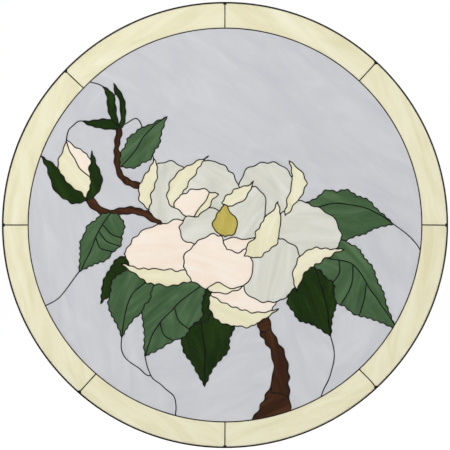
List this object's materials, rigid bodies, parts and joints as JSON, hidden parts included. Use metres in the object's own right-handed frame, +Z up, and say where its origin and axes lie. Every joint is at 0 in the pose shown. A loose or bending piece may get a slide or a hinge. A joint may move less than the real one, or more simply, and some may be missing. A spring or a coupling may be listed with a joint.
{
  "type": "round stained glass window panel",
  "caption": "Round stained glass panel of opalescent glass in solder seams: a pale blossom with leaves, bud and branch on grey-blue, a cream border and an edge came.",
  "frame": {"origin": "middle of the back face of the edge came, at the bottom of the window", "axes": "+Z up the window, +X to the right seen from the front, +Y out of the back, so the front looks along -Y"},
  "size_m": [0.9144, 0.006, 0.9144],
  "materials": {
    "solder": "dark patinated solder bead, satin metal",
    "came": "dark patinated metal came, satin",
    "cream_glass": "opalescent sheet glass, glossy, faintly streaked",
    "grey_white_glass": "opalescent sheet glass, glossy, faintly streaked",
    "blush_glass": "opalescent sheet glass, glossy, faintly streaked",
    "pale_blue_glass": "pale grey-blue translucent sheet glass, glossy, rippled",
    "mid_green_glass": "streaky green sheet glass, glossy",
    "dark_green_glass": "dark green sheet glass, glossy",
    "brown_glass": "streaky brown sheet glass, glossy",
    "ochre_glass": "amber-ochre opalescent sheet glass, glossy"
  },
  "bodies": {
    "root": {"seam_net": "solder", "edge_came": "came", "seed_cone": "ochre_glass", "curl_above_cone": "cream_glass", "curl_right_of_cone": "cream_glass", "petal_inner_right": "grey_white_glass", "petal_inner_upper_left": "blush_glass", "petal_lower_middle": "blush_glass", "petal_inner_lower_left": "grey_white_glass", "curl_lower_left": "cream_glass", "petal_lower_left": "blush_glass", "curl_upper_left": "cream_glass", "petal_upper_left": "grey_white_glass", "curl_far_left": "cream_glass", "petal_far_left": "grey_white_glass", "curl_far_right": "cream_glass", "petal_upper_right": "grey_white_glass", "curl_lower_right": "cream_glass", "petal_low_right": "grey_white_glass", "petal_right": "grey_white_glass", "curl_bottom": "cream_glass", "petal_bottom": "blush_glass", "bud_sepal_right": "dark_green_glass", "bud_sepal_left": "dark_green_glass", "bud": "cream_glass", "leaf_upper_left": "mid_green_glass", "leaf_far_left": "mid_green_glass", "leaf_lower_left": "mid_green_glass", "leaf_dark_left": "dark_green_glass", "leaf_lower_middle": "mid_green_glass", "leaf_dark_bottom": "dark_green_glass", "leaf_right": "mid_green_glass", "leaf_dark_right": "dark_green_glass", "leaf_lower_right": "mid_green_glass", "twig_sepal_right": "dark_green_glass", "twig_sepal_middle": "dark_green_glass", "twig_sepal_left": "dark_green_glass", "trunk": "brown_glass", "twig_upper": "brown_glass", "twig_lower": "brown_glass", "background_top": "pale_blue_glass", "background_upper_left": "pale_blue_glass", "background_by_bud": "pale_blue_glass", "background_by_twig": "pale_blue_glass", "background_under_leaf": "pale_blue_glass", "background_left": "pale_blue_glass", "background_lower_left": "pale_blue_glass", "background_between_leaves": "pale_blue_glass", "background_bottom": "pale_blue_glass", "background_by_trunk": "pale_blue_glass", "background_lower_right": "pale_blue_glass", "background_right": "pale_blue_glass", "border_pane_1": "cream_glass", "border_pane_2": "cream_glass", "border_pane_3": "cream_glass", "border_pane_4": "cream_glass", "border_pane_5": "cream_glass", "border_pane_6": "cream_glass", "border_pane_7": "cream_glass", "border_pane_8": "cream_glass"}
  },
  "joints": []
}
